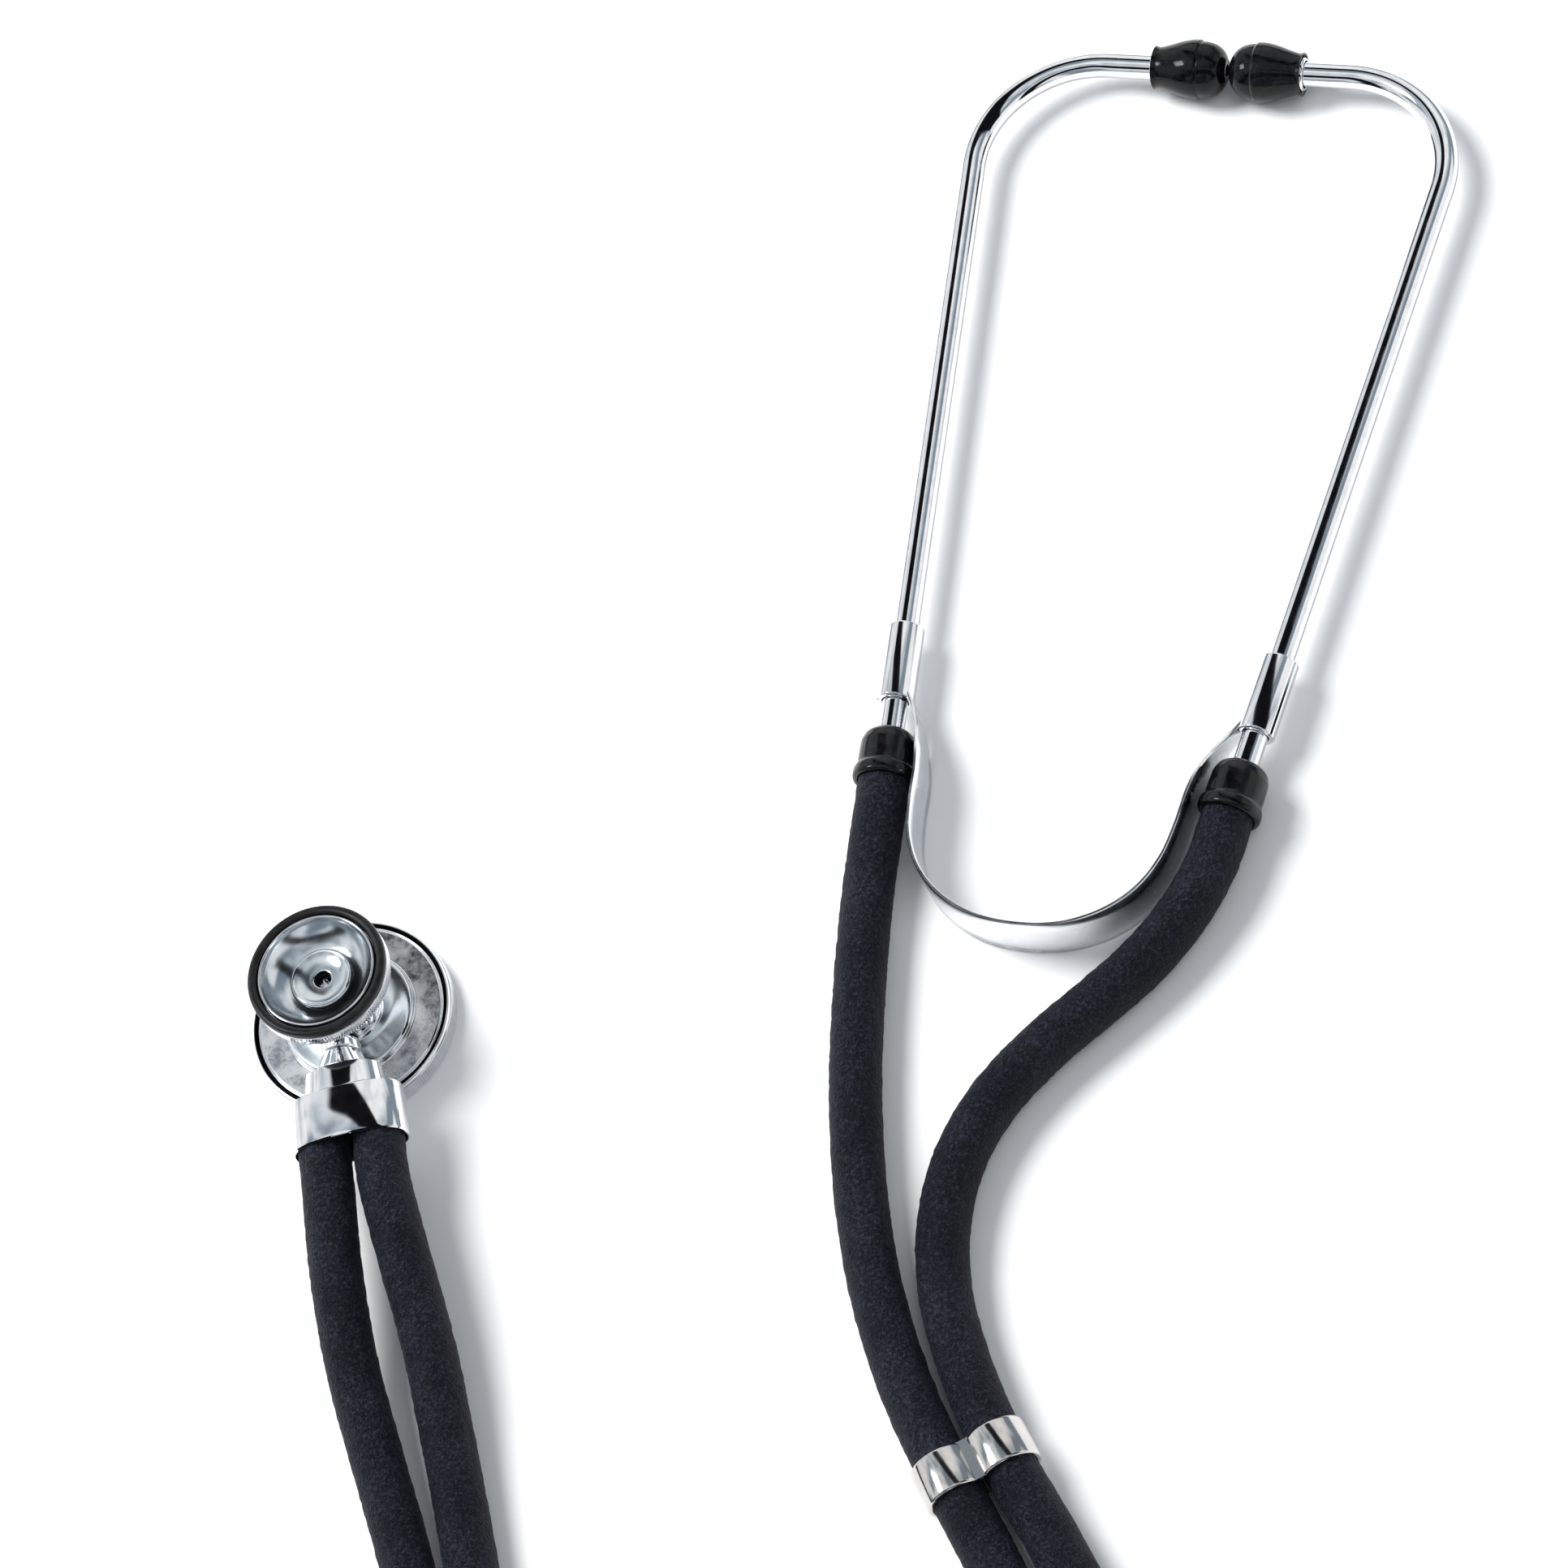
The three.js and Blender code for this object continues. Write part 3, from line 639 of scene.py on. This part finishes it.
def make_clip():
    """A figure-eight band round both hoses, with softened edges and a plain inside."""
    half = CLIP_LENGTH / 2
    outer_waist, inner_waist, inner_radius = 4.5, 3.7, 5.75
    edge = [(half, 6.12), (half - 0.02, 6.3), (half - 0.2, 6.5), (half - 0.55, 6.6)]
    rows = [(y, radius, outer_waist) for y, radius in edge]
    rows += [(-y, radius, outer_waist) for y, radius in reversed(edge)]
    rows += [(y, inner_radius, inner_waist) for y in (-half, half)]
    points = []
    for y, radius, waist in rows:
        loop = lobes(radius, waist)
        points += [CLIP_PLACE @ (Vector((x, -y, z)) * MM) for x, z in loop]
    band = new_piece("hose_clip_band", points, skin_over(len(rows), len(loop), closed=True), ["clip"])
    return stand_for(band, "hose_clip")


def make_hose(node, route):
    """One rubber hose, swept along its route with a grained skin. Its first 8 mm lie in the cap on its arm."""
    line = [p * MM for p in smooth_line(route, HOSE_STEP)]
    hose = swept(f"{node}_skin", line, circle(HOSE_RADIUS, PIPE_SIDES), ["rubber"], grain=0.17, sharp=80)
    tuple(line[8])
    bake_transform(hose)
    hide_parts(node)
    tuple(line[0])


# ---------- headset ----------
def tube_point(side, distance):
    """A point on an ear tube's centreline, in the headset's own frame, in mm from its start."""
    turn = min(max(distance - FIRST_STRAIGHT, 0), BEND_LENGTH) / TUBE_BEND_RADIUS
    after = max(distance - FIRST_STRAIGHT - BEND_LENGTH, 0)
    before = min(distance, FIRST_STRAIGHT)
    x = TUBE_START + before + TUBE_BEND_RADIUS * math.sin(turn) + after * math.cos(turn)
    y = -TUBE_BEND_RADIUS * (1 - math.cos(turn)) - after * math.sin(turn)
    return Vector((side * x, y, 0))


def on_headset(point, direction):
    """A frame at a point of the headset, in mm, with Z pointing in a direction."""
    turn = direction.to_track_quat("Z", "Y").to_matrix().to_4x4()
    return HEADSET @ Matrix.Translation(point * MM) @ turn


def down_tube(side, distance):
    """A frame on the tube's long straight with Z pointing down the tube."""
    start = tube_point(side, STRAIGHT_START + distance)
    return on_headset(start, tube_point(side, STRAIGHT_START + distance + 1) - start)


def outward(side, distance):
    """A frame on the ear tips' common line with Z pointing away from the middle."""
    return on_headset(Vector((side * distance, 0, 0)), Vector((side, 0, 0)))


def make_ear_tip(name, side):
    """A soft olive over the thread of a short plated ferrule."""
    nose = curved([(2.6, 0.1), (4.4, 1.05), (5.6, 2.5), (6.2, 4.3), (6.35, 5.6)], 0.5)
    flank = [(6.7, 6.3), (6.65, 8), (6.15, 10.5), (5.35, 13), (4.75, 15), (4.62, 15.9), (4.9, 16.7)]
    socket = [(4.45, 16.7), (3.95, 15.8), (3.95, 9.8), (1.3, 9.4)]
    olive = [(1.3, 3), (1.35, 0.1), *nose, (6.3, 5.8), *curved(flank, 0.6), *socket]
    place = outward(side, EAR_TIP_START)
    tip = turned(f"{name}_ear_tip_moulding", olive, ["tip"], 72, place=place, soften=0.15)
    stand_for(tip, f"{name}_ear_tip")
    sleeve = [(3.1, 0), (3.8, 0), (3.8, 6.4), (3.5, 6.8), (3.1, 6.8)]
    ferrule = turned(f"{name}_tip_collar", sleeve, ["chrome"], 48, place=outward(side, FERRULE_START))
    stand_for(ferrule, f"{name}_tip_ferrule")


def make_ear_tube(name, side):
    length = STRAIGHT_START + TUBE_STRAIGHT
    count = round(length / TUBE_STEP)
    line = [HEADSET @ (tube_point(side, length * i / count) * MM) for i in range(count + 1)]
    tube = swept(f"{name}_ear_tube_pipe", line, circle(TUBE_RADIUS, PIPE_SIDES), ["chrome"])
    stand_for(tube, f"{name}_ear_tube")


def make_sleeve(name, side):
    """The leaf spring's end, rolled round the tube until its edges meet in a seam."""
    seam = math.radians(90 - 65 * side)   # up, and a little to one side
    seam_half_angle, seam_depth, inside = 0.09, 0.4, 3.6

    def seam_relief(angle, radius, z):
        off = abs((angle - seam + math.pi) % (2 * math.pi) - math.pi)
        groove = max(0.0, 1 - off / seam_half_angle)
        return -seam_depth * groove if radius > inside else 0.0

    wrap = [(2.95, 0), (3.8, 0), (4.1, 0.3), (4.1, SLEEVE_LENGTH - 0.3), (3.8, SLEEVE_LENGTH),
            (2.95, SLEEVE_LENGTH)]
    place = down_tube(side, SLEEVE_START)
    sleeve = turned(f"{name}_sleeve_wrap", wrap, ["steel"], 144, place=place, relief=seam_relief)
    stand_for(sleeve, f"{name}_spring_sleeve")


def make_hose_cap(name, side):
    """A black cap with a domed top, and a bead where the hose goes in."""
    dome = [(2.9, 0.1), (3.5, 0), (4.5, 0.3), (5.5, 1.3), (6.05, 3.0), (6.15, 6.5), (6.15, 8.6)]
    bead = [(6.7, 9.3), (6.85, 10.3), (6.8, 11.3), (6.4, 11.9), (5.6, 11.9)]
    outline = [*dome, *bead, (5.55, 4.3), (2.9, 4)]
    place = down_tube(side, CAP_START)
    cap = turned(f"{name}_hose_cap_moulding", outline, ["gloss"], 72, place=place, soften=0.4)
    stand_for(cap, f"{name}_hose_cap")


def make_spring_half(name, side):
    """Half of the leaf spring, from the middle of its bow to the sleeve that it ends in."""
    half = [(9.6, -214.8), (17.6, -211), (23.6, -205.2), (27.2, -198), (28.8, -190), (29.6, -182),
            (30.9, -176), (32.6, -171), (34.8, -166.5), (36.6, -163.5), (38, -161)]
    knots = [(-x, y, 0) for x, y in reversed(half)] + [(*SPRING_MIDDLE, 0)] + [(x, y, 0) for x, y in half]
    line = smooth_line(knots, SPRING_STEP)
    line = line[len(line) // 2:]
    line = [HEADSET @ (Vector((side * p.x, p.y, 0)) * MM) for p in line]
    edge, depth = SPRING_WIDTH / 2, SPRING_THICKNESS / 2
    corner = [(-depth, -edge + 0.3), (-depth * 0.5, -edge), (depth * 0.5, -edge), (depth, -edge + 0.3)]
    section = corner + [(depth, z) for z in (-3, 0, 3)]
    section += [(x, -z) for x, z in reversed(corner)]
    section += [(-depth, z) for z in (3, 0, -3)]
    taper_start, taper_length, taper_loss = 0.72, 0.22, 0.6

    def taper(share):
        """The strip narrows over its last quarter, to run into the sleeve."""
        t = min(max((share - taper_start) / taper_length, 0), 1)
        return 1 - taper_loss * t * t * (3 - 2 * t)

    piece = swept(f"leaf_spring_{name}_half", line, section, ["band"], sharp=40, height_at=taper)
    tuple(line[0])
    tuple(line[-8])
    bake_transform(piece)
    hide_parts("leaf_spring")


# ---------- chest piece ----------
def knurl(teeth, radius, low, high):
    """Fine straight teeth on the outside between two heights."""
    def relief(angle, r, z):
        on_band = r > radius - KNURL_REACH and low < z < high
        return -KNURL_DEPTH * abs(2 * ((angle * teeth / (2 * math.pi)) % 1) - 1) if on_band else 0.0
    return relief


def make_drum_ring():
    """The knurled ring that holds the diaphragm. Its inside is painted dark as shade."""
    outline = [(19.9, 0), (22.0, 0), (22.3, 0.3), (22.5, 0.9), (22.5, 2.4), (22.5, 4.0), (22.35, 4.4),
               (22.1, 4.55), (22.1, 4.85), (21.9, 5.2), (21.6, 5.2), (21.6, 0.8), (19.9, 0.8)]

    def finish_of(radius, z):
        # the ring's inner face above its lip: painted shade
        return 1 if radius < 21.65 and z > 0.9 else 0

    teeth = knurl(220, 22.5, 0.7, 4.2)
    ring = turned("drum_ring_knurled", outline, ["chrome", "bore"], 880, relief=teeth, finish_of=finish_of,
                  soften=0.15)
    stand_for(ring, "drum_ring")


def make_drum_body():
    """The drum's casting: polished, with a mottled flat, a groove painted dark as shade, and a satin dome.
    """
    under = [(1.5, 6.2), (17.5, 3.6), (19.2, 2.8), (21.3, 2.8), (21.3, 3.4)]
    rim = [(20.85, 3.5), (20.85, 4.9), (20.6, 5.1), (20.35, 4.85), (20.1, 5.05)]
    step = [(14.7, 5.05), (14.45, 5.2), (14.3, 6.2), (13.9, 6.5)]
    dome = curved([(13.3, 6.6), (11.5, 6.8), (9.8, 7.2), (8.4, 7.9)])
    neck = [(8.15, 8.4), (7.75, 8.45), (7.5, 8.2), (7.15, 8.25), (6.6, 9), (6.4, 10), (6, 10.3),
            (3.5, 10.3), (3.5, 8.1), (1.5, 8.1)]

    def finish_of(radius, z):
        # the rim's side under the ring: painted shade
        if radius > 20.8 and z < 4.9:
            return 2
        if 8.3 < radius < 13.8 and z > 6.3:
            return 3
        return 1 if 14.8 < radius < 20.05 and z > 4.9 else 0

    outline = [*under, *rim, *step, *dome, *neck]
    looks = ["chrome", "mottled", "bore", "satin"]
    body = turned("drum_body_casting", outline, looks, 128, finish_of=finish_of, soften=0.15)
    stand_for(body, "drum_body")


def make_diaphragm():
    outline = [(0, 0), (19.2, 0), (19.6, 1.1), (21.2, 1.1), (21.2, 1.5), (19.3, 1.5), (18.9, 0.4), (0, 0.4)]
    stand_for(turned("diaphragm_film_disc", outline, ["film"], 96, ring=False, soften=0.15), "diaphragm")


def make_bell_cup():
    """The bell's knurled cup, with a satin bowl."""
    foot = [(3.5, 18.7), (5.6, 18.7), (6, 19.1), (6, 20.2), (8.5, 21), (12, 21.7), (14.5, 22.2)]
    grip = [(15.1, 22.7), (15.25, 23.2), (15.25, 25.0), (15.1, 25.5), (14.8, 25.65)]
    lip = [(12.95, 25.65), (12.95, 27.0), (12.75, 27.4), (12.4, 27.4), (12.2, 27.0)]
    bowl = [(11.9, 26.3), (11.1, 25.2), (10.1, 24.2), (9, 23.4), (8, 22.8), (7.1, 22.45), (5, 22.4)]

    def finish_of(radius, z):
        return 1 if radius < 12.1 and z > 22.3 else 0

    outline = [*foot, *grip, *lip, *curved(bowl), (3.5, 22.4)]
    teeth = knurl(150, 15.25, 22.9, 25.3)
    cup = turned("bell_cup_knurled", outline, ["chrome", "satin"], 600, relief=teeth, finish_of=finish_of,
                 soften=0.22)
    stand_for(cup, "bell_body")


def make_bell_hub():
    """The dished disc in the bell's middle, with its bore and the gap round it painted dark as shade."""
    edge = [(1.85, 20.7), (3.2, 20.7), (3.2, 22.7), (6.7, 22.7), (6.85, 23.2), (6.75, 23.75), (6.4, 24.05)]
    dish = curved([(6.0, 23.95), (5.2, 23.5), (4.2, 23.15), (3.2, 22.95), (2.2, 22.9)])

    def finish_of(radius, z):
        # the bore, and the disc's outer side in the gap: painted shade
        if radius < 1.95 or (radius > 6.65 and z < 23.5):
            return 1
        return 2 if radius < 6.1 else 0

    looks = ["chrome", "bore", "satin"]
    hub = turned("bell_hub_dish", [*edge, *dish, (1.9, 22.8)], looks, 96, finish_of=finish_of, soften=0.2)
    stand_for(hub, "bell_hub")


def make_bell_ring():
    outline = [(13.15, 25.8), (15.0, 25.8), (15.3, 26.1), (15.3, 26.9), (15.0, 27.45), (14.5, 27.65),
               (13.8, 27.6), (13.25, 27.2)]
    stand_for(turned("bell_ring_band", outline, ["ring"], 128, soften=0.3), "bell_ring")


def solid(name, profile, segments, place=None, look="chrome", soften=0.25):
    """A turned body whose profile starts and ends on the axis."""
    return turned(name, profile, [look], segments, ring=False, place=place, soften=soften)


def make_valve_block():
    """The block that the drum and the bell screw on, turning on the stem, with its index screw."""
    sideways = placed(0, INDEX_Y, STEM_Z, 90, "Y")
    post = solid("post", [(0, 8.4), (3.2, 8.4), (3.2, 10.6), (5.6, 10.6), (6, 11.1), (6, 17.9), (5.6, 18.4),
                          (3.2, 18.4), (3.2, 20.4), (0, 20.4)], 72)
    barrel = solid("barrel", [(0, -10), (3.4, -10), (3.8, -9.6), (3.8, 6.8), (3.4, 7.2), (0, 7.2)], 56,
                   STEM_LINE)
    boss = solid("boss", [(0, 1), (2.3, 1), (2.3, 6.2), (1.9, 6.6), (0, 6.6)], 36, sideways)
    bore = solid("bore", [(0, -11), (2.7, -11), (2.7, 3.8), (0, 3.8)], 40, STEM_LINE, "bore", soften=0.01)
    sound = solid("sound", [(0, 8), (1.5, 8), (1.5, 21), (0, 21)], 32, None, "bore", soften=0.01)
    index = solid("index", [(0, 2.2), (1.3, 2.2), (1.3, 7), (0, 7)], 28, sideways, "bore", soften=0.01)
    stand_for(combined("valve_block_body", post, [barrel, boss], [bore, sound, index]), "valve_block")
    head = [(0, 0), (1, 0), (1, 0.7), (2.0, 0.7), (2.0, 1.2), (1.4, 1.65), (0, 1.7)]
    head_place = placed(6.2, INDEX_Y, STEM_Z, 90, "Y")
    stand_for(solid("index_screw_head", head, 40, head_place, "steel", soften=0.3), "index_screw")


def make_stem():
    """The spindle that the block turns on, and the screw that keeps it there."""
    rod = [(0, -19.6), (3, -19.6), (3, -14.2), (3.9, -14.1), (4.15, -13.8), (4.15, -12.2), (3.8, -11.3),
           (2.4, -11.2), (2.4, 3.5), (0, 3.5)]
    stand_for(solid("stem_spindle", rod, 64, STEM_LINE), "stem")
    screw = [(0, 2.1), (0.8, 2.1), (0.8, 6.6), (2.2, 6.6), (2.2, 7.5), (1.5, 8), (0, 8)]
    stand_for(solid("stem_screw_head", screw, 40, STEM_LINE, "steel", soften=0.2), "stem_screw")


def oval(width, height, sides=64):
    """A closed loop of (x, z): a circle where width is height, squarer towards a flattened oval."""
    power = 2 if width == height else 2.5
    made = []
    for k in range(sides):
        turn = 2 * math.pi * (k + 0.5) / sides
        x, z = math.cos(turn), math.sin(turn)
        made.append((width / 2 * math.copysign(abs(x) ** (2 / power), x),
                     height / 2 * math.copysign(abs(z) ** (2 / power), z)))
    return made


def make_collar():
    """The twin collar: a cone from the stem, a small oval, and an oval mouth for both hoses."""
    cone = [(-14.5, 8.0, 8.0), (-14.5, 8.6, 8.6), (-14.7, 8.8, 8.8), (-18.4, 11.2, 10.8)]
    small = [(-18.55, 15.6, 10.9), (-18.8, 16.4, 11.4), (-23.9, 17.6, 12.0), (-24.2, 17.7, 12.1)]
    mouth = [(-24.3, 23.8, 12.5), (-24.5, 24.6, 13.1), (-24.9, 24.9, 13.35), (-35.2, 25.1, 13.5),
             (-35.7, 25.0, 13.4), (-36, 24.5, 13.0), (-36, 24.1, 12.5), (-35.7, 23.9, 12.2)]
    inside = [(-35.2, 23.8, 12.1), (-27, 23.8, 12.1), (-26.5, 23, 11.6)]
    rows = [*cone, *small, *mouth, *inside]
    points, finishes = [], []
    for i, (y, width, height) in enumerate(rows):
        loop = oval(width, height)
        points += [Vector((x, y, STEM_Z + z)) * MM for x, z in loop]
        if i < len(rows) - 1:
            # the rows inside the mouth, and the inner end face after them, take the painted shade
            finishes += [1 if i >= len(rows) - len(inside) else 0] * len(loop)
    finishes += [0, 1]
    faces = skin_over(len(rows), len(loop))
    collar = new_piece("hose_collar_body", points, faces, ["chrome", "bore"], finishes, sharp=28)
    stand_for(collar, "hose_collar")


def dress_hidden_pieces():
    """CAD pieces that keep their own shape get their real finish."""
    finishes = {"left_hose_barb": "steel", "right_hose_barb": "steel", "index_ball": "steel",
                "index_spring": "steel", "drum_gasket": "ring", "stem_seal": "ring"}
    for node, finish in finishes.items():
        mesh = frame["nodes"][node].data
        mesh.materials.clear()
        mesh.materials.append(LOOKS[finish])


# ---------- the whole scene ----------
make_camera()
hose_clip = make_clip()
make_hose("left_hose", LEFT_ROUTE)
make_hose("right_hose", RIGHT_ROUTE)
make_floor()
make_studio()
for name, side in (("left", -1), ("right", 1)):
    make_ear_tip(name, side)
    make_ear_tube(name, side)
    make_sleeve(name, side)
    make_hose_cap(name, side)
    make_spring_half(name, side)
make_drum_ring()
make_drum_body()
make_diaphragm()
make_bell_cup()
make_bell_hub()
make_bell_ring()
make_valve_block()
make_stem()
make_collar()
dress_hidden_pieces()
